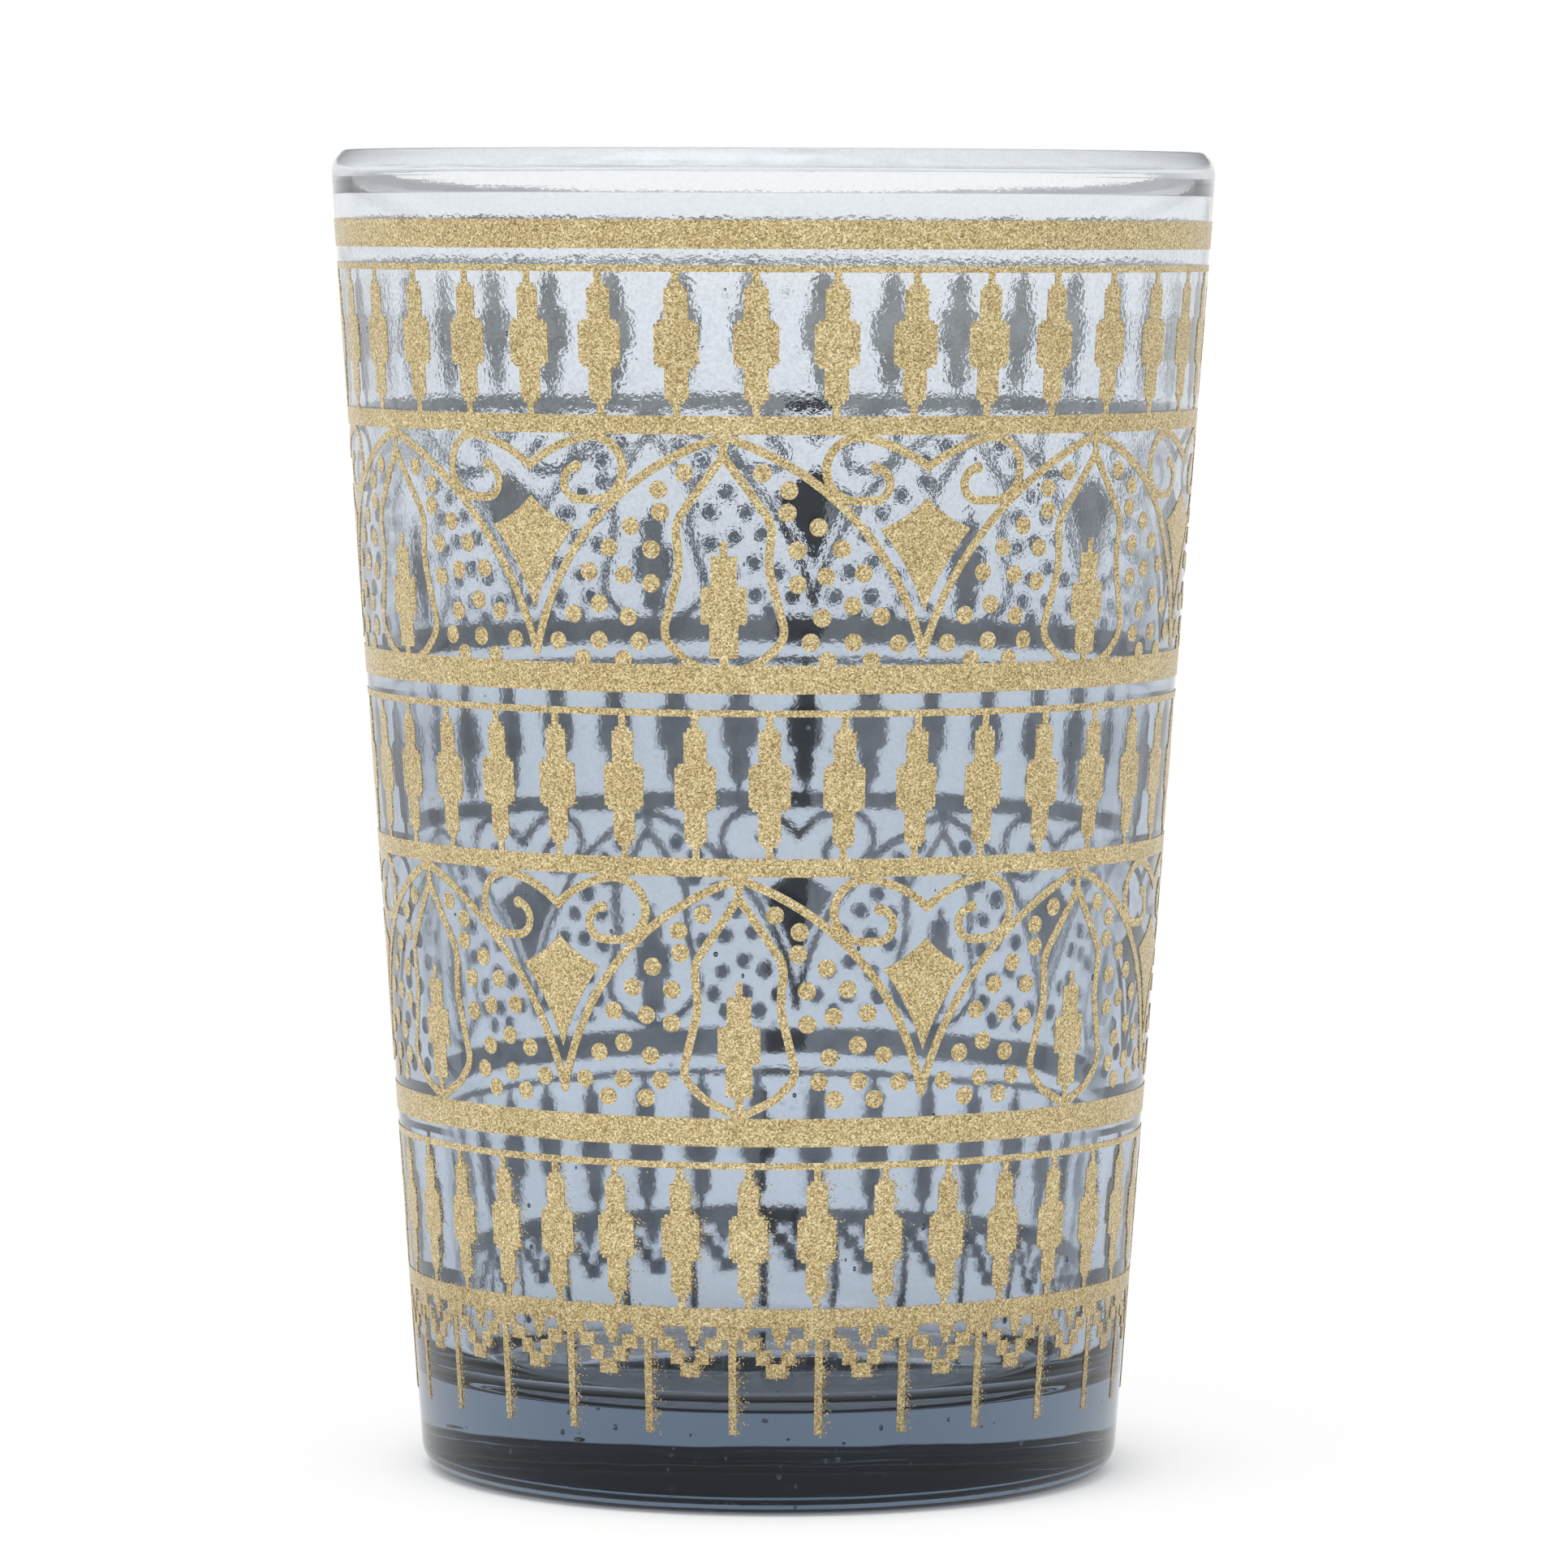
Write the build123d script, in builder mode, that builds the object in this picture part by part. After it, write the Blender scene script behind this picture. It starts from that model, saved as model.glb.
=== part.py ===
from build123d import *
import os
from math import cos, radians, sin

# A Moroccan tea glass: a clear tapered tumbler with a thick foot, decorated with a gold print in bands.
# It stands on z = 0 with its axis on Z, and its front faces -Y. Lengths are millimetres, angles degrees.

# Glass body
height = 90.0
rim_diameter = 60.3
base_diameter = 47.4
wall_at_lip = 1.1
wall_at_middle = 1.25
wall_at_floor = 3.3
wall_middle_z = 55.0
wall_curve_radius = 1300.0
lip_thickness = 1.36
lip_depth = 2.9
lip_slope_width = 0.88
lip_slope_depth = 0.95
lip_shoulder_radius = 1.6
lip_crown_radius = 0.45
lip_inner_edge_radius = 0.26
lip_blend_radius = 1.0
floor_thickness = 6.5
floor_corner_radius = 3.5
base_edge_radius = 1.9
foot_ring_width = 3.0
underside_rise = 0.6

# Gold print: the film and the widths of its lines
print_thickness = 0.06
line_width = 0.56
stripe_width = 1.88
stripe_gap = 1.05
fine_line_width = 0.45
rail_width = 1.2

# Heights of the print, stacked downwards from the rim
rim_margin = 4.65
upper_arcade_height = 15.0
lower_arcade_height = 15.95

# Balusters: stepped posts, as half widths in degrees and heights
baluster_count = 35
neck_half_angle = 0.5
bevel_half_angle = 1.05
block_half_angle = 1.57
shoulder_half_angle = 2.4
belly_half_angle = 2.9
neck_height = 0.75
bevel_height = 0.3
block_height = 2.05
shoulder_height = 0.25
belly_height = 2.6
baluster_turns = {"upper": -2.0, "middle": -0.1, "lower": -3.1}

# Arcades: wide bays at the front, and the rest of the turn shared by narrower bays at the back
front_bay_angle = 54.2
front_bay_count = 3
back_bay_count = 4
arcade_turns = {"upper": -6.3, "lower": -4.4}

# One bay's figures, as degrees from the middle of the bay or of the spandrel and as drops below the rail
arch_apex_drop = 0.15
arch_haunch_angle = 16.0
arch_haunch_drop = 4.85
arch_tip_drop = 14.3
scroll_notch_drop = 2.1
scroll_top = (8.6, 0.2)
scroll_side = (13.7, 2.2)
scroll_bottom = (8.9, 4.3)
scroll_turn = (7.4, 4.3)
scroll_end = (7.1, 2.15)
scroll_ball_diameter = 0.75
kite_top_drop = 4.1
kite_shoulder = (2.7, 5.2)
kite_side = (6.4, 6.1)
kite_flank = (3.1, 8.3)
kite_bottom_drop = 11.55
pear_top_drop = 1.4
pear_corners = [(6.5, 5.8), (5.85, 8.6), (8.4, 13.2), (5.2, 14.75)]
pear_radii = [2.2, 5.0, 1.5, 3.0]
pear_bottom_drop = 15.85
finial_top_drop = 6.95
finial_steps = [(0.5, 0.95), (1.75, 2.0), (3.1, 2.45), (1.95, 2.2)]
finial_foot_half_angle = 0.6
dot_diameter = 1.2
dot_places = [
    (5.1, 2.5), (8.6, 3.6), (12.5, 6.0), (15.6, 7.4), (18.6, 9.0), (21.1, 11.8), (23.6, 13.6),
    (8.4, 5.05), (9.7, 7.5), (13.6, 9.2), (17.2, 11.1), (17.4, 13.5), (19.9, 14.7),
    (9.8, 9.7), (13.1, 11.9), (11.6, 13.5), (13.9, 14.7),
]

# Fringe under the lowest rail: thin lines, and stepped pendants with a tooth inside each
fringe_count = 27
fringe_turn = 1.1
fringe_line_half_angle = 0.6
fringe_line_drop = 7.2
pendant_inner_angles = [4.3, 2.4, 0.9, -0.8]
pendant_outer_angles = [6.06, 5.0, 3.0, 1.5]
pendant_top_drops = [0.0, 0.75, 1.55, 2.45]
pendant_bottom_drops = [0.85, 1.65, 2.55, 3.4]
tooth_turn = 0.6
tooth_steps = [(1.2, 0.5), (0.85, 0.45), (0.45, 0.4)]

# Worked out from the values above
rim_radius = rim_diameter / 2
base_radius = base_diameter / 2
taper = (rim_radius - base_radius) / height
reach = rim_radius + print_thickness + 1
baluster_top_steps = [
    (neck_half_angle, neck_height),
    (bevel_half_angle, bevel_height),
    (block_half_angle, block_height),
    (shoulder_half_angle, shoulder_height),
]
baluster_steps = baluster_top_steps + [(belly_half_angle, belly_height)] + baluster_top_steps[::-1]
baluster_height = sum(step_height for half_angle, step_height in baluster_steps)
band_height = stripe_width + stripe_gap + fine_line_width + baluster_height + rail_width
upper_top = height - rim_margin
middle_top = upper_top - band_height - upper_arcade_height
lower_top = middle_top - band_height - lower_arcade_height
band_tops = {"upper": upper_top, "middle": middle_top, "lower": lower_top}
arcade_spans = {
    "upper": (upper_top - band_height, middle_top),
    "lower": (middle_top - band_height, lower_top),
}
fringe_top = lower_top - band_height
bay_half_angle = front_bay_angle / 2
back_bay_angle = (360 - front_bay_count * front_bay_angle) / back_bay_count
bay_halves = [bay_half_angle] * front_bay_count + [back_bay_angle / 2] * back_bay_count


def outer_radius(z):
    """Radius of the glass's outer cone at a height."""
    return base_radius + taper * z


def on_cone(angle, z):
    """Sketch point, seen from the front, of a place on the cone."""
    return (outer_radius(z) * sin(radians(angle)), z)


def cone_plane(angle, z):
    """Plane that touches the cone from outside."""
    across = Vector(sin(radians(angle)), -cos(radians(angle)), 0)
    return Plane(origin=across * outer_radius(z) + Vector(0, 0, z), z_dir=across - Vector(0, 0, taper))


def half_plane(angle):
    """Plane through the axis, with its X pointing outwards at an angle."""
    return Plane(
        origin=(0, 0, 0),
        x_dir=(sin(radians(angle)), -cos(radians(angle)), 0),
        z_dir=(-cos(radians(angle)), -sin(radians(angle)), 0),
    )


def film_section(low, high):
    """Corners of the print's film, cut through the axis, between two heights."""
    return [
        (outer_radius(low), low),
        (outer_radius(low) + print_thickness, low),
        (outer_radius(high) + print_thickness, high),
        (outer_radius(high), high),
    ]


def even_angles(count, first):
    """Angles that share out a full turn."""
    return [first + 360 * index / count for index in range(count)]


def bay_middles(turn):
    """Angle of each bay's middle, with the front bays centred on the arcade's own turn."""
    angle = turn - bay_half_angle * front_bay_count
    middles = []
    for half in bay_halves:
        middles.append(angle + half)
        angle += 2 * half
    return middles


def ring_of(piece, angles):
    """Copies of a piece turned about the axis."""
    with BuildPart() as ring:
        with Locations(*[Location((0, 0, 0), (0, 0, angle)) for angle in angles]):
            add(piece.part)
    return ring


def save(name, piece):
    """Label a finished piece and write it."""
    piece.part.label = name
    export_step(piece.part, f"parts/{name}.step")


# The print's figures, each made at the front of the glass


def stripe(low, high):
    """Film all round the glass between two heights."""
    with BuildPart() as ring:
        with BuildSketch(Plane.XZ):
            Polygon(*film_section(low, high), align=None)
        revolve(axis=Axis.Z)
    return ring


def stepped_post(top, steps):
    """Post of stacked blocks, each with a half width in degrees and a height, from the top down."""
    with BuildPart() as post:
        level = top
        for half_angle, step_height in steps:
            with BuildSketch(half_plane(-half_angle)):
                Polygon(*film_section(level - step_height, level), align=None)
            revolve(axis=Axis.Z, revolution_arc=2 * half_angle)
            level -= step_height
    return post


def pendant():
    """Stepped V that hangs between two fringe lines."""
    with BuildPart() as steps:
        for inner, outer, top_drop, bottom_drop in zip(
            pendant_inner_angles, pendant_outer_angles, pendant_top_drops, pendant_bottom_drops
        ):
            for start in (inner, -outer):
                with BuildSketch(half_plane(start)):
                    Polygon(*film_section(fringe_top - bottom_drop, fringe_top - top_drop), align=None)
                revolve(axis=Axis.Z, revolution_arc=outer - inner)
    return steps


def dots(rail, end, half):
    """The round dots on both sides of one bay, cut off where they reach the stripe below."""
    planes = []
    for angle, drop in dot_places:
        for side in (-1, 1):
            planes.append(cone_plane(side * angle * half / bay_half_angle, rail - drop))
    with BuildPart() as group:
        with BuildSketch(*planes):
            Circle(dot_diameter / 2)
        extrude(amount=print_thickness)
        split(bisect_by=Plane.XY.offset(end), keep=Keep.TOP)
    return group


def arch_line(rail, side, half):
    """Middle line of one arch, from its tip in the spandrel up to the middle of its bay."""
    haunch = side * half * (1 - arch_haunch_angle / bay_half_angle)
    return ThreePointArc(
        on_cone(0, rail - arch_tip_drop),
        on_cone(haunch, rail - arch_haunch_drop),
        on_cone(side * half, rail - arch_apex_drop),
    )


def arch_pair(coat, rail, halves):
    """The two arch lines that meet in a point between neighbouring bays."""
    with BuildPart() as pair:
        with BuildSketch(Plane.XZ):
            for side, half in zip((-1, 1), halves):
                with BuildLine(mode=Mode.PRIVATE) as path:
                    arch_line(rail, side, half)
                SlotArc(path.wire(), line_width)
        extrude(amount=reach)
        add(coat.part, mode=Mode.INTERSECT)
    return pair


def scroll_pair(coat, rail, halves):
    """The two scrolls that curl from a notch between neighbouring bays and lean on the arches."""
    with BuildPart() as pair:
        with BuildSketch(Plane.XZ):
            for side, half in zip((-1, 1), halves):
                spread = side * half / bay_half_angle
                notch = on_cone(0, rail - scroll_notch_drop)
                top = on_cone(spread * scroll_top[0], rail - scroll_top[1])
                outside = on_cone(spread * scroll_side[0], rail - scroll_side[1])
                bottom = on_cone(spread * scroll_bottom[0], rail - scroll_bottom[1])
                turn = on_cone(spread * scroll_turn[0], rail - scroll_turn[1])
                end = on_cone(spread * scroll_end[0], rail - scroll_end[1])
                with BuildLine(mode=Mode.PRIVATE) as path:
                    curl = ThreePointArc(top, outside, bottom)
                    TangentArc(top, notch, tangent=(curl % 0) * -1)
                    run = Line(bottom, turn)
                    TangentArc(turn, end, tangent=run % 1)
                SlotArc(path.wire(), line_width)
                with Locations(end):
                    Circle(scroll_ball_diameter / 2)
            for side, half in zip((-1, 1), halves):
                with BuildLine(mode=Mode.PRIVATE) as path:
                    arch_line(rail, side, half)
                SlotArc(path.wire(), line_width, mode=Mode.SUBTRACT)
        extrude(amount=reach)
        add(coat.part, mode=Mode.INTERSECT)
    return pair


def kite(coat, rail):
    """Four-pointed figure with hollow sides, between neighbouring bays."""
    top = on_cone(0, rail - kite_top_drop)
    bottom = on_cone(0, rail - kite_bottom_drop)
    with BuildPart() as figure:
        with BuildSketch(Plane.XZ):
            with BuildLine():
                for side in (-1, 1):
                    corner = on_cone(side * kite_side[0], rail - kite_side[1])
                    ThreePointArc(top, on_cone(side * kite_shoulder[0], rail - kite_shoulder[1]), corner)
                    ThreePointArc(corner, on_cone(side * kite_flank[0], rail - kite_flank[1]), bottom)
            make_face()
        extrude(amount=reach)
        add(coat.part, mode=Mode.INTERSECT)
    return figure


def pear(coat, rail):
    """Pear-shaped outline that hangs from a short stem in the middle of a bay."""
    top = on_cone(0, rail - pear_top_drop)
    bottom = on_cone(0, rail - pear_bottom_drop)
    with BuildPart() as outline:
        with BuildSketch(Plane.XZ):
            with BuildLine(mode=Mode.PRIVATE) as stem:
                Line(on_cone(0, rail - arch_apex_drop), top)
            SlotArc(stem.wire(), line_width)
            for side in (-1, 1):
                corners = [on_cone(side * angle, rail - drop) for angle, drop in pear_corners]
                with BuildLine(mode=Mode.PRIVATE) as flank:
                    FilletPolyline(top, *corners, bottom, radius=pear_radii)
                SlotArc(flank.wire(), line_width)
        extrude(amount=reach)
        add(coat.part, mode=Mode.INTERSECT)
    return outline


os.makedirs("parts", exist_ok=True)

# Glass body: one revolved section with a sloped and rounded lip, a solid foot and a hollowed underside
lip_shoulder_z = height - lip_slope_depth
lip_foot_z = height - lip_depth
wall_top_radius = outer_radius(lip_foot_z) - wall_at_lip
wall_middle_radius = outer_radius(wall_middle_z) - wall_at_middle
floor_radius = outer_radius(floor_thickness) - wall_at_floor
ring_inner_radius = base_radius - base_edge_radius - foot_ring_width
with BuildPart() as glass_body:
    with BuildSketch(Plane.XZ):
        with BuildLine():
            FilletPolyline(
                (ring_inner_radius, 0),
                (base_radius, 0),
                (outer_radius(lip_shoulder_z), lip_shoulder_z),
                (rim_radius - lip_slope_width, height),
                (rim_radius - lip_thickness, height),
                (wall_top_radius, lip_foot_z),
                (wall_middle_radius, wall_middle_z),
                (floor_radius, floor_thickness),
                (0, floor_thickness),
                radius=[
                    base_edge_radius,
                    lip_shoulder_radius,
                    lip_crown_radius,
                    lip_inner_edge_radius,
                    lip_blend_radius,
                    wall_curve_radius,
                    floor_corner_radius,
                ],
            )
            Line((0, floor_thickness), (0, underside_rise))
            ThreePointArc(
                (0, underside_rise),
                (ring_inner_radius / 2, underside_rise * 3 / 4),
                (ring_inner_radius, 0),
            )
        make_face()
    revolve(axis=Axis.Z)
save("glass_body", glass_body)

# Three bands, each a stripe, a fine line, a row of balusters and a rail
for band, band_top in band_tops.items():
    line_top = band_top - stripe_width - stripe_gap
    row_top = line_top - fine_line_width
    row_bottom = row_top - baluster_height
    post = stepped_post(row_top, baluster_steps)
    save(f"{band}_stripe", stripe(band_top - stripe_width, band_top))
    save(f"{band}_fine_line", stripe(row_top, line_top))
    save(f"{band}_balusters", ring_of(post, even_angles(baluster_count, baluster_turns[band])))
    save(f"{band}_rail", stripe(row_bottom - rail_width, row_bottom))

# Two arcades, each hung between a rail above and a stripe below
for arcade, (rail, end) in arcade_spans.items():
    coat = stripe(end, rail)
    middles = bay_middles(arcade_turns[arcade])
    spandrels = [middle + half for middle, half in zip(middles, bay_halves)]
    spandrel_halves = list(zip(bay_halves, bay_halves[1:] + bay_halves[:1]))

    with BuildPart() as arches:
        for angle, halves in zip(spandrels, spandrel_halves):
            add(arch_pair(coat, rail, halves).part, rotation=(0, 0, angle))
    save(f"{arcade}_arches", arches)

    with BuildPart() as scrolls:
        for angle, halves in zip(spandrels, spandrel_halves):
            add(scroll_pair(coat, rail, halves).part, rotation=(0, 0, angle))
    save(f"{arcade}_scrolls", scrolls)

    save(f"{arcade}_kites", ring_of(kite(coat, rail), spandrels))

    with BuildPart() as pears:
        add(ring_of(pear(coat, rail), middles).part)
        add(arches.part, mode=Mode.SUBTRACT)
    save(f"{arcade}_pears", pears)

    finial_top = rail - finial_top_drop
    foot_top = finial_top - sum(step_height for half_angle, step_height in finial_steps)
    foot_bottom = max(end, rail - pear_bottom_drop)
    foot = (finial_foot_half_angle, foot_top - foot_bottom)
    with BuildPart() as finials:
        add(ring_of(stepped_post(finial_top, finial_steps + [foot]), middles).part)
        add(pears.part, mode=Mode.SUBTRACT)
    save(f"{arcade}_finials", finials)

    with BuildPart() as dot_field:
        for angle, half in zip(middles, bay_halves):
            add(dots(rail, end, half).part, rotation=(0, 0, angle))
    save(f"{arcade}_dots", dot_field)

# Fringe under the lowest rail
fringe_middles = even_angles(fringe_count, fringe_turn)
line_angles = even_angles(fringe_count, fringe_turn + 180 / fringe_count)
tooth_angles = even_angles(fringe_count, fringe_turn + tooth_turn)
fringe_line = stepped_post(fringe_top, [(fringe_line_half_angle, fringe_line_drop)])
tooth = stepped_post(fringe_top, tooth_steps)
save("fringe_lines", ring_of(fringe_line, line_angles))
save("fringe_pendants", ring_of(pendant(), fringe_middles))
save("fringe_teeth", ring_of(tooth, tooth_angles))
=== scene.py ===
import math
import random

import bmesh
import bpy
from mathutils import Matrix, Vector, bvhtree, geometry


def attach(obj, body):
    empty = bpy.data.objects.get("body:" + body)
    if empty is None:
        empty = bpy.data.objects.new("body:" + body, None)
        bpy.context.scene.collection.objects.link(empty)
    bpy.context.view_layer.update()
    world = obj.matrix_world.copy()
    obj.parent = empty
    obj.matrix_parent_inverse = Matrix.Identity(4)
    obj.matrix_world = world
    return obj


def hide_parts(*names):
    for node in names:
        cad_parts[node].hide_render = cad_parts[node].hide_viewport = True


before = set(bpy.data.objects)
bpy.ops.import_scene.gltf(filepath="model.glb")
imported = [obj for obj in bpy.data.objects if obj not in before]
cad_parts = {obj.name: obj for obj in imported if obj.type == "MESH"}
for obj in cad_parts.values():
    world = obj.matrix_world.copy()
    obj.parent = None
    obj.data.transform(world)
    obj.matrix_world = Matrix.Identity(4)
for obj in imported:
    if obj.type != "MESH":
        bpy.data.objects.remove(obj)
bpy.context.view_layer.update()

# A Moroccan tea glass on a white floor, seen from the front. Sizes are millimetres until they reach a mesh.
MM = 0.001

# Glass body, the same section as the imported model's
HEIGHT = 90.0
RIM_RADIUS = 30.15
BASE_RADIUS = 23.7
WALL_AT_LIP = 1.1
WALL_AT_MIDDLE = 1.25
WALL_AT_FLOOR = 3.3
WALL_MIDDLE_Z = 55.0
WALL_CURVE_RADIUS = 1300.0
LIP_THICKNESS = 1.36
LIP_DEPTH = 2.9
LIP_SLOPE_WIDTH = 0.88
LIP_SLOPE_DEPTH = 0.95
LIP_SHOULDER_RADIUS = 1.6
LIP_CROWN_RADIUS = 0.45
LIP_INNER_RADIUS = 0.26
LIP_BLEND_RADIUS = 1.0
FLOOR_THICKNESS = 6.5
FLOOR_CORNER_RADIUS = 3.5
BASE_EDGE_RADIUS = 1.9
FOOT_RING_WIDTH = 3.0
UNDERSIDE_RISE = 0.6
TURN_STEPS = 320
ARC_STEP = 6.0
LEAST_ARC_STEPS = 4
WALL_STEPS = 30
UNDERSIDE_STEPS = 8

# Clear glass: how it bends, reflects and swallows light
GLASS_IOR = 1.5
GLASS_REFLECTION = (0.55, 0.58, 0.64)
SMOKE_COLOUR = (0.574, 0.643, 0.70)
SMOKE_DENSITY = 70.0

# Smoky coat on the faces that look outwards, by share of the height, and its grain
COAT_FACING = 0.05
COAT_STOPS = [
    (0.06, (0.46, 0.51, 0.59)),
    (0.13, (0.52, 0.585, 0.68)),
    (0.25, (0.60, 0.675, 0.785)),
    (0.42, (0.565, 0.63, 0.725)),
    (0.58, (0.55, 0.62, 0.72)),
    (0.72, (0.70, 0.755, 0.83)),
    (0.86, (0.84, 0.89, 0.96)),
    (0.97, (0.91, 0.94, 0.98)),
]
GRAIN_SCALE = 3600
GRAIN_STOPS = [
    (0.36, (0.80, 0.80, 0.80)),
    (0.58, (1.0, 1.0, 1.0)),
]

# Gold: the textures of its grain with their shares in the mix, its sheen, and its colours from dull to bright
GOLD_FINE_SCALE = 9000
GOLD_FINE_DETAIL = 2.0
GOLD_FINE_CONTRAST = 0.6
GOLD_FINE_SHARE = 0.3
GOLD_CELL_SCALE = 11000
GOLD_CELL_SHARE = 0.6
GOLD_PATCH_SCALE = 260
GOLD_PATCH_SHARE = 0.15
GOLD_METALLIC = 0.25
GOLD_SHEEN = 0.35
GOLD_SHEEN_ROUGHNESS = 0.3
GOLD_ROUGHNESS = 0.35
GOLD_ROUGHNESS_SPREAD = 0.3
GOLD_GRAIN_HEIGHT = 0.00004
GOLD_GRAIN_STRENGTH = 0.5
GOLD_FACING = -0.5
GOLD_STOPS = [
    (0.2, (0.197, 0.131, 0.048)),
    (0.5, (0.525, 0.405, 0.187)),
    (0.74, (0.745, 0.61, 0.332)),
    (0.9, (0.98, 0.915, 0.71)),
]

# Gold darker towards the foot, by share of the height
FOOT_DARKENING_STOPS = [
    (0.06, (0.68, 0.68, 0.70)),
    (0.12, (0.82, 0.80, 0.77)),
    (0.2, (1.0, 1.0, 1.0)),
]

# Grey of the print's mottled underside, with painted light and shade by share of the height, and a painted
# dark strip along its seam at the back
UNDER_LIGHT_AND_SHADE_STOPS = [
    (0.25, (0.94, 0.945, 0.96)),
    (0.42, (0.85, 0.855, 0.87)),
    (0.58, (0.56, 0.565, 0.58)),
    (0.72, (0.68, 0.68, 0.68)),
    (0.88, (0.92, 0.92, 0.89)),
]
MOTTLE_SCALE = 450
MOTTLE_STOPS = [
    (0.35, (0.7, 0.7, 0.7)),
    (0.6, (1.0, 1.0, 1.0)),
]
# Painted shade: the dark strip on the print's underside along the seam at the back
SEAM_SHADE_COLOUR = (0.02, 0.02, 0.021)
SEAM_TURN = 0.76
SEAM_LEAN = 0.062
SEAM_HALF_ANGLE = 3.2
SEAM_TOP = 0.803

# Room, by elevation in degrees: a white wall with a dark ceiling above it
ROOM_STOPS = [
    (4.0, (1.0, 1.0, 1.0)),
    (6.5, (0.025, 0.025, 0.027)),
    (38.0, (0.05, 0.05, 0.053)),
    (55.0, (0.06, 0.06, 0.063)),
]
ROOM_LIGHT = 0.95

# Lamp in metres and watts, and the white floor with its glow by distance from the axis in metres; the glow
# fades out round the glass's foot as a painted shadow
LAMP_POWER = 2.0
LAMP_SIZE = (0.5, 0.4)
LAMP_PLACE = (-0.15, -0.3, 0.7)
LAMP_AIM = (0, 0, 0.04)
FLOOR_HALF_SIZE = 6.0
FLOOR_COLOUR = (0.95, 0.95, 0.95)
FLOOR_GLOW_AND_SHADOW_STOPS = [
    (0.022, (0.0, 0.0, 0.0)),
    (0.027, (0.55, 0.55, 0.55)),
    (0.036, (0.88, 0.88, 0.88)),
    (0.06, (0.97, 0.97, 0.97)),
    (0.15, (1.0, 1.0, 1.0)),
]

# Relief of the glass in metres: waves, fine pebbles, and level streaks on the lip
WAVE_HEIGHT = 0.00006
WAVE_SCALE = 110
PEBBLE_HEIGHT = 0.000006
PEBBLE_SCALE = 3000
STREAK_HEIGHT = 0.00005
STREAK_SCALES = (60, 60, 2600)

# Where the pebbles, the waves and the lip's streaks show, by share of the height
PEBBLE_STOPS = [
    (0.09, (0.05, 0.05, 0.05)),
    (0.16, (0.3, 0.3, 0.3)),
    (0.6, (0.42, 0.42, 0.42)),
    (0.8, (1.0, 1.0, 1.0)),
    (0.94, (0.9, 0.9, 0.9)),
    (0.96, (0.3, 0.3, 0.3)),
]
CALM_STOPS = [
    (0.955, (1.0, 1.0, 1.0)),
    (0.975, (0.15, 0.15, 0.15)),
]
LIP_STOPS = [
    (0.982, (0.0, 0.0, 0.0)),
    (0.988, (1.0, 1.0, 1.0)),
]

# Lip: its roughness and how milky it is. Haze of the rest of the glass, as roughness by share of the height
LIP_ROUGHNESS = 0.12
LIP_MILKINESS = 0.5
HAZE_STOPS = [
    (0.1, (0.0, 0.0, 0.0)),
    (0.18, (0.05, 0.05, 0.05)),
    (0.66, (0.05, 0.05, 0.05)),
    (0.8, (0.014, 0.014, 0.014)),
    (0.94, (0.014, 0.014, 0.014)),
    (0.96, (0.01, 0.01, 0.01)),
]

# Seeds: tiny bubbles caught in the wall and the floor
SEED_COUNT = 320
SEED_RADIUS = (0.05, 0.16)
SEEDS_IN_FLOOR = 50
SEED_STRETCH = (1, 1.7)
SEED_DEPTH = (0.35, 0.65)
SEED_WALL_HEIGHTS = (12, HEIGHT - 8)
SEED_FLOOR_HEIGHTS = (1.5, FLOOR_THICKNESS - 0.8)
SEED_FLOOR_RADIUS = BASE_RADIUS - 1.5
SEED_SIDES = 8
SEED_RINGS = 5

# Specks of gold blown past the figures' edges: how many each kind has, and how far they drift to the right
SPECK_ROWS = [
    ("lower_balusters", 8000, 0.22),
    ("fringe_lines", 6000, 0.2),
    ("fringe_pendants", 5500, 0.2),
    ("fringe_teeth", 1000, 0.2),
    ("lower_rail", 1500, 0.1),
    ("middle_balusters", 900, 0.07),
    ("upper_balusters", 900, 0.07),
    ("lower_finials", 120, 0.07),
    ("upper_finials", 120, 0.07),
]
SPECK_SPREAD = 0.09
SPECK_RADIUS = (0.03, 0.085)
SPECK_HEIGHT = 0.03
SPECK_SINK = 0.004
SPECK_SIDES = 4
SPECK_TRIES = 20
SPECK_FACING = 0.5
SPECK_RAY_START = 2
SPECK_RAY_LENGTH = 3

# Camera, as fitted to the photograph
FRAME_PIXELS = 1932
FOCAL_PIXELS = 10000
SENSOR_WIDTH = 36.0
CAMERA_PLACE = (0.88, -554.0, 85.2)
CAMERA_PITCH = 3.96
CAMERA_ROLL = 0.22
CAMERA_CLIP = (0.01, 100)

TAPER = (RIM_RADIUS - BASE_RADIUS) / HEIGHT
RANDOM_SEED = 7
rng = random.Random(RANDOM_SEED)


def cone_radius(z):
    """Outer radius of the glass at a height."""
    return BASE_RADIUS + TAPER * z


def right_of(way):
    """Unit vector to the right of a direction in the section, which is the side of the air."""
    return Vector((way.y, -way.x)).normalized()


def rounded_path(points, radii):
    """Points and air-side normals of a section, with each inner corner rounded to its radius."""
    corners = [Vector(point) for point in points]
    path = [(corners[0], right_of(corners[1] - corners[0]))]
    for before, corner, after, radius in zip(corners, corners[1:], corners[2:], radii):
        arrive = (corner - before).normalized()
        leave = (after - corner).normalized()
        turn = math.atan2(arrive.cross(leave), arrive.dot(leave))
        setback = radius * math.tan(abs(turn) / 2)
        side = math.copysign(1, turn)
        centre = corner - arrive * setback - right_of(arrive) * (radius * side)
        steps = max(LEAST_ARC_STEPS, math.ceil(math.degrees(abs(turn)) / ARC_STEP))
        for index in range(steps + 1):
            normal = Matrix.Rotation(turn * index / steps, 2) @ right_of(arrive)
            path.append((centre + normal * (radius * side), normal))
    path.append((corners[-1], right_of(corners[-1] - corners[-2])))
    return path


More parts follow.
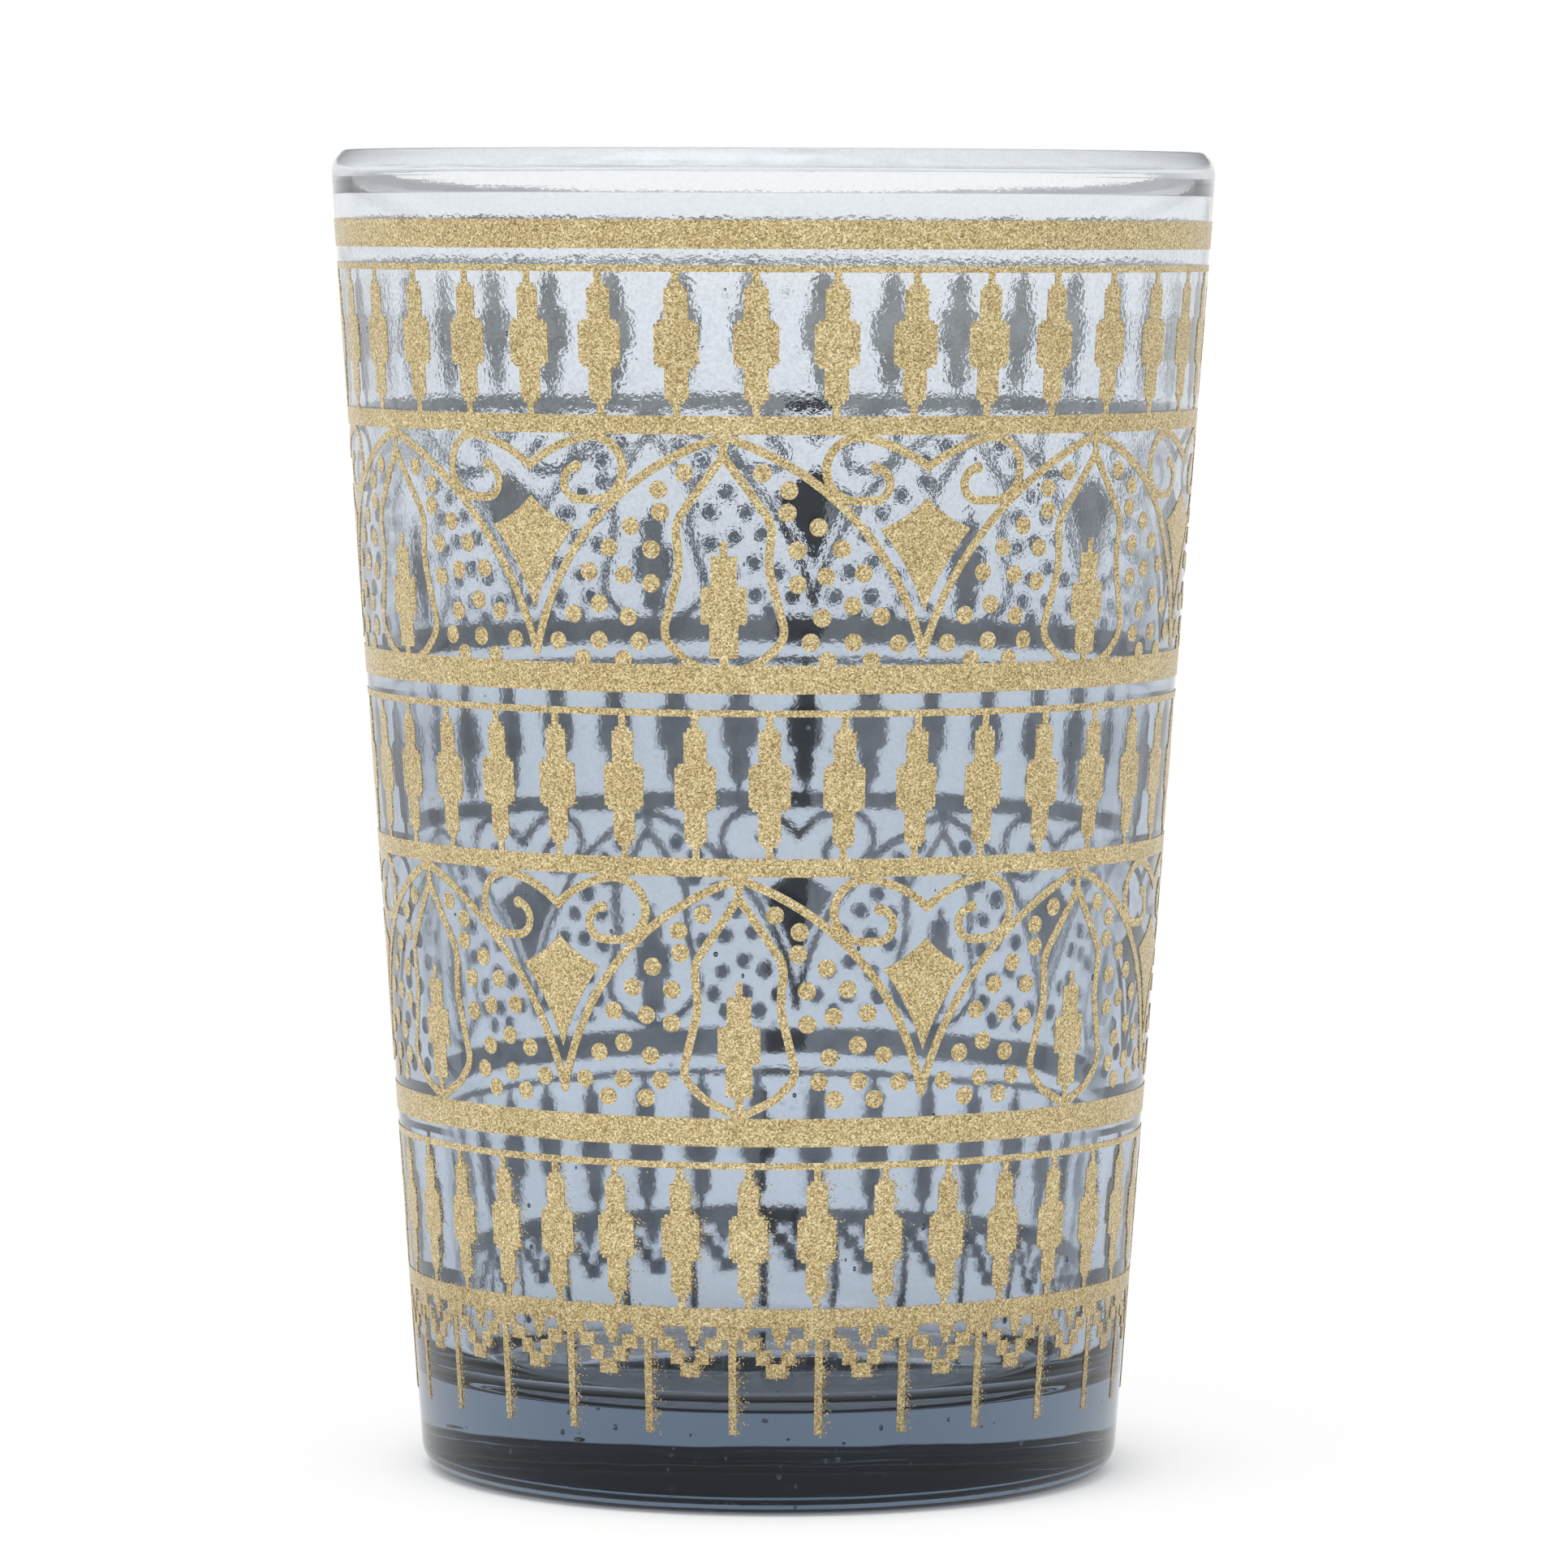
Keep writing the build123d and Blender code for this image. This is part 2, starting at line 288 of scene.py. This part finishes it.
def glass_section():
    """Points and normals of the section: from the axis underneath, up the outside, down the inside."""
    ring_inner = BASE_RADIUS - BASE_EDGE_RADIUS - FOOT_RING_WIDTH
    lip_foot = HEIGHT - LIP_DEPTH
    lip_shoulder = HEIGHT - LIP_SLOPE_DEPTH
    section = []
    for index in range(UNDERSIDE_STEPS):
        share = index / UNDERSIDE_STEPS
        slope = Vector((ring_inner, -2 * UNDERSIDE_RISE * share))
        section.append((Vector((ring_inner * share, UNDERSIDE_RISE * (1 - share ** 2))), right_of(slope)))
    corners = [
        (ring_inner, 0),
        (BASE_RADIUS, 0),
        (cone_radius(lip_shoulder), lip_shoulder),
        (RIM_RADIUS - LIP_SLOPE_WIDTH, HEIGHT),
        (RIM_RADIUS - LIP_THICKNESS, HEIGHT),
        (cone_radius(lip_foot) - WALL_AT_LIP, lip_foot),
        (cone_radius(WALL_MIDDLE_Z) - WALL_AT_MIDDLE, WALL_MIDDLE_Z),
        (cone_radius(FLOOR_THICKNESS) - WALL_AT_FLOOR, FLOOR_THICKNESS),
        (0, FLOOR_THICKNESS),
    ]
    radii = [
        BASE_EDGE_RADIUS,
        LIP_SHOULDER_RADIUS,
        LIP_CROWN_RADIUS,
        LIP_INNER_RADIUS,
        LIP_BLEND_RADIUS,
        WALL_CURVE_RADIUS,
        FLOOR_CORNER_RADIUS,
    ]
    rounded = rounded_path(corners, radii)
    for (low, normal), (high, next_normal) in zip(rounded, rounded[1:]):
        steps = max(1, round((high - low).length / HEIGHT * WALL_STEPS))
        for index in range(steps):
            section.append((low.lerp(high, index / steps), normal.lerp(next_normal, index / steps)))
    section.append(rounded[-1])
    return section


def revolve_section(bm, section, normals):
    """Faces of a section turned about Z, closed at the axis at both ends. Each vertex's normal is noted."""
    rings = []
    for point, normal in section:
        ring = []
        for index in range(TURN_STEPS if point.x > 0 else 1):
            angle = 2 * math.pi * index / TURN_STEPS
            across = Vector((math.cos(angle), math.sin(angle), 0))
            ring.append(bm.verts.new((across * point.x + Vector((0, 0, point.y))) * MM))
            normals.append(across * normal.x + Vector((0, 0, normal.y)))
        rings.append(ring)
    for low, high in zip(rings, rings[1:]):
        for index in range(TURN_STEPS):
            after = (index + 1) % TURN_STEPS
            if len(low) == 1:
                bm.faces.new((low[0], high[after], high[index]))
            elif len(high) == 1:
                bm.faces.new((low[index], low[after], high[0]))
            else:
                bm.faces.new((low[index], low[after], high[after], high[index]))


def add_seed(bm, centre, radii, normals):
    """A bubble: a closed shell whose faces look into its own hollow."""
    rings = []
    for row in range(SEED_RINGS + 1):
        tilt = math.pi * row / SEED_RINGS
        ring = []
        for side in range(SEED_SIDES if 0 < row < SEED_RINGS else 1):
            turn = 2 * math.pi * side / SEED_SIDES
            way = Vector((math.sin(tilt) * math.cos(turn), math.sin(tilt) * math.sin(turn), math.cos(tilt)))
            ring.append(bm.verts.new(centre + way * radii))
            normals.append(-way)
        rings.append(ring)
    for upper, lower in zip(rings, rings[1:]):
        for side in range(SEED_SIDES):
            after = (side + 1) % SEED_SIDES
            if len(upper) == 1:
                bm.faces.new((upper[0], lower[after], lower[side]))
            elif len(lower) == 1:
                bm.faces.new((upper[side], upper[after], lower[0]))
            else:
                bm.faces.new((upper[side], upper[after], lower[after], lower[side]))


def make_glass():
    """The glass vessel with its seeds."""
    bm = bmesh.new()
    normals = []
    revolve_section(bm, glass_section(), normals)
    for index in range(SEED_COUNT):
        radius = rng.uniform(*SEED_RADIUS)
        if index < SEEDS_IN_FLOOR:
            z = rng.uniform(*SEED_FLOOR_HEIGHTS)
            reach = SEED_FLOOR_RADIUS * math.sqrt(rng.random())
        else:
            z = rng.uniform(*SEED_WALL_HEIGHTS)
            wall = WALL_AT_FLOOR + (WALL_AT_LIP - WALL_AT_FLOOR) * z / HEIGHT
            reach = cone_radius(z) - wall * rng.uniform(*SEED_DEPTH)
        turn = rng.uniform(0, 2 * math.pi)
        centre = Vector((reach * math.cos(turn), reach * math.sin(turn), z)) * MM
        add_seed(bm, centre, Vector((radius, radius, radius * rng.uniform(*SEED_STRETCH))) * MM, normals)
    mesh = bpy.data.meshes.new("glass_vessel")
    bm.to_mesh(mesh)
    bm.free()
    mesh.shade_smooth()
    mesh.normals_split_custom_set_from_vertices(normals)
    piece = bpy.data.objects.new("glass_vessel", mesh)
    bpy.context.scene.collection.objects.link(piece)
    return piece


def outward_points(piece, count):
    """Random points on the faces of a piece that look away from the glass's axis."""
    corners = [piece.matrix_world @ vertex.co for vertex in piece.data.vertices]
    triangles = []
    for face in piece.data.polygons:
        middle = piece.matrix_world @ face.center
        normal = piece.matrix_world.to_3x3() @ face.normal
        if normal.dot(Vector((middle.x, middle.y, 0)).normalized()) > SPECK_FACING:
            first, *others = face.vertices
            triangles += [(first, *edge) for edge in zip(others, others[1:])]
    weights = [geometry.area_tri(*(corners[index] for index in triangle)) for triangle in triangles]
    points = []
    for triangle in rng.choices(triangles, weights, k=count):
        start, side, other = (corners[index] for index in triangle)
        along, across = sorted((rng.random(), rng.random()))
        points.append(start + (side - start) * along + (other - start) * (1 - across))
    return points


def add_speck(bm, turn, z):
    """A small low grain on the glass at an angle and a height."""
    radius = rng.uniform(*SPECK_RADIUS)
    out = Vector((math.cos(turn), math.sin(turn), 0))
    right = Vector((-math.sin(turn), math.cos(turn), 0))
    start = rng.uniform(0, 2 * math.pi)
    ring = []
    for side in range(SPECK_SIDES):
        angle = start + 2 * math.pi * side / SPECK_SIDES
        level = z + radius * math.sin(angle)
        place = out * (cone_radius(level) - SPECK_SINK) + right * (radius * math.cos(angle))
        ring.append(bm.verts.new((place + Vector((0, 0, level))) * MM))
    top = bm.verts.new((out * (cone_radius(z) + SPECK_HEIGHT) + Vector((0, 0, z))) * MM)
    bm.faces.new(ring[::-1])
    for side in range(SPECK_SIDES):
        bm.faces.new((ring[side], ring[(side + 1) % SPECK_SIDES], top))


def make_specks(prints):
    """The blown specks, only where no figure already covers the glass."""
    bm = bmesh.new()
    scene_now = bpy.context.evaluated_depsgraph_get()
    trees = [bvhtree.BVHTree.FromObject(piece, scene_now) for piece in prints.values()]
    for name, count, drift in SPECK_ROWS:
        placed = 0
        for point in outward_points(prints[name], count * SPECK_TRIES):
            z = point.z / MM + rng.gauss(0, SPECK_SPREAD)
            shift = rng.gauss(0, SPECK_SPREAD / 2) + rng.expovariate(1 / drift)
            turn = math.atan2(point.y, point.x) + shift / cone_radius(z)
            out = Vector((math.cos(turn), math.sin(turn), 0))
            far = out * ((cone_radius(z) + SPECK_RAY_START) * MM) + Vector((0, 0, z * MM))
            if any(tree.ray_cast(far, -out, SPECK_RAY_LENGTH * MM)[0] for tree in trees):
                continue
            add_speck(bm, turn, z)
            placed += 1
            if placed == count:
                break
    mesh = bpy.data.meshes.new("gold_specks")
    bm.to_mesh(mesh)
    bm.free()
    piece = bpy.data.objects.new("gold_specks", mesh)
    bpy.context.scene.collection.objects.link(piece)
    return piece


def ramp(tree, stops, source):
    """A colour ramp with these (place, colour) stops, fed by a socket."""
    made = tree.nodes.new("ShaderNodeValToRGB")
    points = made.color_ramp.elements
    points[0].position, points[1].position = stops[0][0], stops[-1][0]
    points[0].color, points[1].color = (*stops[0][1], 1), (*stops[-1][1], 1)
    for place, colour in stops[1:-1]:
        points.new(place).color = (*colour, 1)
    tree.links.new(source, made.inputs["Fac"])
    return made


def calculate(tree, operation, first, second=None, third=None):
    """A math node, whose inputs are sockets or numbers."""
    made = tree.nodes.new("ShaderNodeMath")
    made.operation = operation
    for socket, value in zip(made.inputs, (first, second, third)):
        if isinstance(value, (int, float)):
            socket.default_value = value
        elif value is not None:
            tree.links.new(value, socket)
    return made.outputs["Value"]


def mix_colours(tree, share, first, second):
    """A mix of two colours, which are sockets or constants, by a share."""
    made = tree.nodes.new("ShaderNodeMix")
    made.data_type = "RGBA"
    tree.links.new(share, made.inputs["Factor"])
    for name, colour in (("A", first), ("B", second)):
        socket = next(one for one in made.inputs if one.name == name and one.type == "RGBA")
        if isinstance(colour, tuple):
            socket.default_value = (*colour, 1)
        else:
            tree.links.new(colour, socket)
    return next(one for one in made.outputs if one.type == "RGBA")


def multiply_colours(tree, first, second):
    """The product of two colour sockets."""
    made = tree.nodes.new("ShaderNodeVectorMath")
    made.operation = "MULTIPLY"
    tree.links.new(first, made.inputs[0])
    tree.links.new(second, made.inputs[1])
    return made.outputs["Vector"]


def noise(tree, vector, scale, detail=2.0, roughness=0.5):
    """A noise texture's value over a vector socket."""
    made = tree.nodes.new("ShaderNodeTexNoise")
    made.inputs["Scale"].default_value = scale
    made.inputs["Detail"].default_value = detail
    made.inputs["Roughness"].default_value = roughness
    tree.links.new(vector, made.inputs["Vector"])
    return made.outputs["Fac"]


def new_material(name):
    """An empty node material with its output node."""
    material = bpy.data.materials.new(name)
    material.use_nodes = True
    material.node_tree.nodes.clear()
    output = material.node_tree.nodes.new("ShaderNodeOutputMaterial")
    return material, material.node_tree, output


def outward_share(tree, surface, least):
    """1 where a face looks away from the glass's axis by more than a least share, and 0 elsewhere."""
    flat_place = tree.nodes.new("ShaderNodeVectorMath")
    flat_place.operation = "MULTIPLY"
    flat_place.inputs[1].default_value = (1, 1, 0)
    tree.links.new(surface.outputs["Position"], flat_place.inputs[0])
    outwards = tree.nodes.new("ShaderNodeVectorMath")
    outwards.operation = "NORMALIZE"
    tree.links.new(flat_place.outputs["Vector"], outwards.inputs[0])
    face = tree.nodes.new("ShaderNodeVectorMath")
    face.operation = "SCALE"
    tree.links.new(surface.outputs["True Normal"], face.inputs[0])
    turned = calculate(tree, "MULTIPLY_ADD", surface.outputs["Backfacing"], -2.0, 1.0)
    tree.links.new(turned, face.inputs["Scale"])
    facing = tree.nodes.new("ShaderNodeVectorMath")
    facing.operation = "DOT_PRODUCT"
    tree.links.new(outwards.outputs["Vector"], facing.inputs[0])
    tree.links.new(face.outputs["Vector"], facing.inputs[1])
    return calculate(tree, "GREATER_THAN", facing.outputs["Value"], least)


def glass_material():
    """Clear glass, smokier towards the foot, with a pebbled upper part, gentle waves and a milky lip."""
    material, tree, output = new_material("clear_glass")
    surface = tree.nodes.new("ShaderNodeNewGeometry")
    place = surface.outputs["Position"]
    axes = tree.nodes.new("ShaderNodeSeparateXYZ")
    tree.links.new(place, axes.inputs["Vector"])
    level = calculate(tree, "DIVIDE", axes.outputs["Z"], HEIGHT * MM)

    shader = tree.nodes.new("ShaderNodeBsdfPrincipled")
    shader.inputs["IOR"].default_value = GLASS_IOR
    shader.inputs["Specular Tint"].default_value = (*GLASS_REFLECTION, 1)
    tint = ramp(tree, COAT_STOPS, level)
    pebbled = ramp(tree, PEBBLE_STOPS, level)
    grain = ramp(tree, GRAIN_STOPS, noise(tree, place, GRAIN_SCALE))
    grain_share = mix_colours(tree, pebbled.outputs["Color"], (1, 1, 1), grain.outputs["Color"])
    grainy = multiply_colours(tree, tint.outputs["Color"], grain_share)
    coat = mix_colours(tree, outward_share(tree, surface, COAT_FACING), (1, 1, 1), grainy)
    tree.links.new(coat, shader.inputs["Base Color"])

    on_lip = ramp(tree, LIP_STOPS, level)
    clearness = calculate(tree, "MULTIPLY_ADD", on_lip.outputs["Color"], -LIP_MILKINESS, 1.0)
    tree.links.new(clearness, shader.inputs["Transmission Weight"])
    calm = ramp(tree, CALM_STOPS, level)
    stretched = tree.nodes.new("ShaderNodeVectorMath")
    stretched.operation = "MULTIPLY"
    stretched.inputs[1].default_value = STREAK_SCALES
    tree.links.new(place, stretched.inputs[0])
    wave = calculate(tree, "MULTIPLY", noise(tree, place, WAVE_SCALE), calm.outputs["Color"])
    pebble = calculate(tree, "MULTIPLY", noise(tree, place, PEBBLE_SCALE), pebbled.outputs["Color"])
    streak = calculate(tree, "MULTIPLY", noise(tree, stretched.outputs["Vector"], 1), on_lip.outputs["Color"])
    relief = calculate(tree, "MULTIPLY", wave, WAVE_HEIGHT)
    relief = calculate(tree, "MULTIPLY_ADD", pebble, PEBBLE_HEIGHT, relief)
    relief = calculate(tree, "MULTIPLY_ADD", streak, STREAK_HEIGHT, relief)
    frosting = calculate(tree, "MULTIPLY", on_lip.outputs["Color"], LIP_ROUGHNESS)
    haze = ramp(tree, HAZE_STOPS, level)
    frosting = calculate(tree, "MAXIMUM", frosting, haze.outputs["Color"])
    tree.links.new(frosting, shader.inputs["Roughness"])
    bump = tree.nodes.new("ShaderNodeBump")
    bump.inputs["Strength"].default_value = 1.0
    bump.inputs["Distance"].default_value = 1.0
    tree.links.new(relief, bump.inputs["Height"])
    tree.links.new(bump.outputs["Normal"], shader.inputs["Normal"])
    tree.links.new(shader.outputs["BSDF"], output.inputs["Surface"])

    smoke = tree.nodes.new("ShaderNodeVolumeAbsorption")
    smoke.inputs["Color"].default_value = (*SMOKE_COLOUR, 1)
    smoke.inputs["Density"].default_value = SMOKE_DENSITY
    tree.links.new(smoke.outputs["Volume"], output.inputs["Volume"])
    return material


def gold_material():
    """Fired-on gold enamel: a glittery grain outside, and a mottled grey back where it lies on the glass,
    with painted light and shade by height and a painted dark strip along the seam.
    """
    material, tree, output = new_material("gold_print")
    surface = tree.nodes.new("ShaderNodeNewGeometry")
    place = surface.outputs["Position"]
    fine = noise(tree, place, GOLD_FINE_SCALE, GOLD_FINE_DETAIL, GOLD_FINE_CONTRAST)
    patch = noise(tree, place, GOLD_PATCH_SCALE)
    grains = tree.nodes.new("ShaderNodeTexVoronoi")
    grains.inputs["Scale"].default_value = GOLD_CELL_SCALE
    tree.links.new(place, grains.inputs["Vector"])
    grain_value = tree.nodes.new("ShaderNodeSeparateXYZ")
    tree.links.new(grains.outputs["Color"], grain_value.inputs["Vector"])
    grainy = calculate(tree, "MULTIPLY", fine, GOLD_FINE_SHARE)
    grainy = calculate(tree, "MULTIPLY_ADD", grain_value.outputs["X"], GOLD_CELL_SHARE, grainy)
    mixed = calculate(tree, "MULTIPLY_ADD", patch, GOLD_PATCH_SHARE, grainy)
    gold = ramp(tree, GOLD_STOPS, mixed)
    axes = tree.nodes.new("ShaderNodeSeparateXYZ")
    tree.links.new(place, axes.inputs["Vector"])
    level = calculate(tree, "DIVIDE", axes.outputs["Z"], HEIGHT * MM)
    foot_darkening = ramp(tree, FOOT_DARKENING_STOPS, level)
    foot_darkened_gold = multiply_colours(tree, gold.outputs["Color"], foot_darkening.outputs["Color"])
    mottle = ramp(tree, MOTTLE_STOPS, noise(tree, place, MOTTLE_SCALE))
    # Painted light and shade: the underside's grey is lighter or darker by height
    underside_with_painted_light = multiply_colours(tree, ramp(tree, UNDER_LIGHT_AND_SHADE_STOPS, level).outputs["Color"], mottle.outputs["Color"])
    turn = calculate(tree, "ARCTAN2", axes.outputs["X"], axes.outputs["Y"])
    lean = math.radians(SEAM_LEAN) / MM
    seam_turn = calculate(tree, "MULTIPLY_ADD", axes.outputs["Z"], lean, math.radians(SEAM_TURN))
    off_seam = calculate(tree, "ABSOLUTE", calculate(tree, "SUBTRACT", turn, seam_turn))
    half_angle = math.radians(SEAM_HALF_ANGLE)
    rough_edge = calculate(tree, "MULTIPLY_ADD", patch, half_angle, half_angle / 2)
    # Painted shade: a dark strip on the underside along the seam, below its top
    in_seam_shade = calculate(tree, "LESS_THAN", off_seam, rough_edge)
    in_seam_shade = calculate(tree, "MULTIPLY", in_seam_shade, calculate(tree, "LESS_THAN", level, SEAM_TOP))
    back = mix_colours(tree, in_seam_shade, underside_with_painted_light, SEAM_SHADE_COLOUR)
    colour = mix_colours(tree, outward_share(tree, surface, GOLD_FACING), back, foot_darkened_gold)

    shader = tree.nodes.new("ShaderNodeBsdfPrincipled")
    shader.inputs["Metallic"].default_value = GOLD_METALLIC
    shader.inputs["Sheen Weight"].default_value = GOLD_SHEEN
    shader.inputs["Sheen Roughness"].default_value = GOLD_SHEEN_ROUGHNESS
    tree.links.new(colour, shader.inputs["Base Color"])
    dullness = calculate(tree, "MULTIPLY_ADD", fine, GOLD_ROUGHNESS_SPREAD, GOLD_ROUGHNESS)
    tree.links.new(dullness, shader.inputs["Roughness"])
    bump = tree.nodes.new("ShaderNodeBump")
    bump.inputs["Strength"].default_value = GOLD_GRAIN_STRENGTH
    bump.inputs["Distance"].default_value = GOLD_GRAIN_HEIGHT
    tree.links.new(mixed, bump.inputs["Height"])
    tree.links.new(bump.outputs["Normal"], shader.inputs["Normal"])
    tree.links.new(shader.outputs["BSDF"], output.inputs["Surface"])
    return material


def seen_directly(tree):
    """1 for rays from the camera, by reflection or through glass, and 0 for the light on dull surfaces."""
    path = tree.nodes.new("ShaderNodeLightPath")
    either = calculate(tree, "MAXIMUM", path.outputs["Is Camera Ray"], path.outputs["Is Glossy Ray"])
    either = calculate(tree, "MAXIMUM", either, path.outputs["Is Transmission Ray"])
    undiffused = calculate(tree, "LESS_THAN", path.outputs["Diffuse Depth"], 0.5)
    return calculate(tree, "MULTIPLY", either, undiffused)


def make_floor():
    """White floor that keeps a soft shadow, with a painted shadow round the glass's foot where its glow
    fades.
    """
    material, tree, output = new_material("white_floor")
    paper = tree.nodes.new("ShaderNodeBsdfDiffuse")
    paper.inputs["Color"].default_value = (*FLOOR_COLOUR, 1)
    glow = tree.nodes.new("ShaderNodeEmission")
    glow.inputs["Color"].default_value = (1, 1, 1, 1)
    glow.inputs["Strength"].default_value = 1.0
    surface = tree.nodes.new("ShaderNodeNewGeometry")
    distance = tree.nodes.new("ShaderNodeVectorMath")
    distance.operation = "LENGTH"
    tree.links.new(surface.outputs["Position"], distance.inputs[0])
    # Painted shadow: the glow fades out round the glass's foot, so the floor there shows darker
    glow_with_painted_shadow = ramp(tree, FLOOR_GLOW_AND_SHADOW_STOPS, distance.outputs["Value"])
    share = calculate(tree, "MULTIPLY", seen_directly(tree), glow_with_painted_shadow.outputs["Color"])
    mix = tree.nodes.new("ShaderNodeMixShader")
    tree.links.new(share, mix.inputs["Fac"])
    tree.links.new(paper.outputs["BSDF"], mix.inputs[1])
    tree.links.new(glow.outputs["Emission"], mix.inputs[2])
    tree.links.new(mix.outputs["Shader"], output.inputs["Surface"])
    bm = bmesh.new()
    bmesh.ops.create_grid(bm, x_segments=4, y_segments=4, size=FLOOR_HALF_SIZE)
    mesh = bpy.data.meshes.new("floor")
    bm.to_mesh(mesh)
    bm.free()
    mesh.materials.append(material)
    floor = bpy.data.objects.new("floor", mesh)
    bpy.context.scene.collection.objects.link(floor)


def light_scene():
    """A room that is white low down and dim above, with one soft lamp."""
    world = bpy.data.worlds.new("white_room")
    world.use_nodes = True
    tree = world.node_tree
    tree.nodes.clear()
    output = tree.nodes.new("ShaderNodeOutputWorld")
    coordinates = tree.nodes.new("ShaderNodeTexCoord")
    axes = tree.nodes.new("ShaderNodeSeparateXYZ")
    tree.links.new(coordinates.outputs["Generated"], axes.inputs["Vector"])
    height = calculate(tree, "MULTIPLY_ADD", axes.outputs["Z"], 0.5, 0.5)
    stops = [(0.5 + 0.5 * math.sin(math.radians(angle)), colour) for angle, colour in ROOM_STOPS]
    room = ramp(tree, stops, height)
    wall = tree.nodes.new("ShaderNodeBackground")
    wall.inputs["Strength"].default_value = 1.0
    tree.links.new(room.outputs["Color"], wall.inputs["Color"])
    soft = tree.nodes.new("ShaderNodeBackground")
    soft.inputs["Color"].default_value = (1, 1, 1, 1)
    soft.inputs["Strength"].default_value = ROOM_LIGHT
    mix = tree.nodes.new("ShaderNodeMixShader")
    tree.links.new(seen_directly(tree), mix.inputs["Fac"])
    tree.links.new(soft.outputs["Background"], mix.inputs[1])
    tree.links.new(wall.outputs["Background"], mix.inputs[2])
    tree.links.new(mix.outputs["Shader"], output.inputs["Surface"])
    bpy.context.scene.world = world

    lamp = bpy.data.lights.new("soft_lamp", "AREA")
    lamp.shape = "RECTANGLE"
    lamp.size, lamp.size_y = LAMP_SIZE
    lamp.energy = LAMP_POWER
    holder = bpy.data.objects.new("soft_lamp", lamp)
    holder.location = LAMP_PLACE
    holder.rotation_euler = (Vector(LAMP_AIM) - holder.location).to_track_quat("-Z", "Y").to_euler()
    bpy.context.scene.collection.objects.link(holder)


def place_camera():
    """Camera at the photograph's place."""
    camera = bpy.data.cameras.new("camera")
    camera.sensor_width = SENSOR_WIDTH
    camera.lens = FOCAL_PIXELS / FRAME_PIXELS * SENSOR_WIDTH
    camera.clip_start, camera.clip_end = CAMERA_CLIP
    holder = bpy.data.objects.new("camera", camera)
    pitch = Matrix.Rotation(math.radians(90 - CAMERA_PITCH), 4, "X")
    roll = Matrix.Rotation(math.radians(CAMERA_ROLL), 4, "Z")
    holder.matrix_world = Matrix.Translation(Vector(CAMERA_PLACE) * MM) @ pitch @ roll
    bpy.context.scene.collection.objects.link(holder)
    bpy.context.scene.camera = holder


place_camera()
light_scene()
make_floor()

glass = make_glass()
glass.data.materials.append(glass_material())
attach(glass, "root")
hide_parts("glass_body")

gold = gold_material()
prints = {}
for name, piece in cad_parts.items():
    if name == "glass_body":
        continue
    piece.data.materials.clear()
    piece.data.materials.append(gold)
    prints[name] = piece
specks = make_specks(prints)
specks.data.materials.append(gold)
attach(specks, "root")

bpy.context.scene.view_settings.view_transform = "Standard"
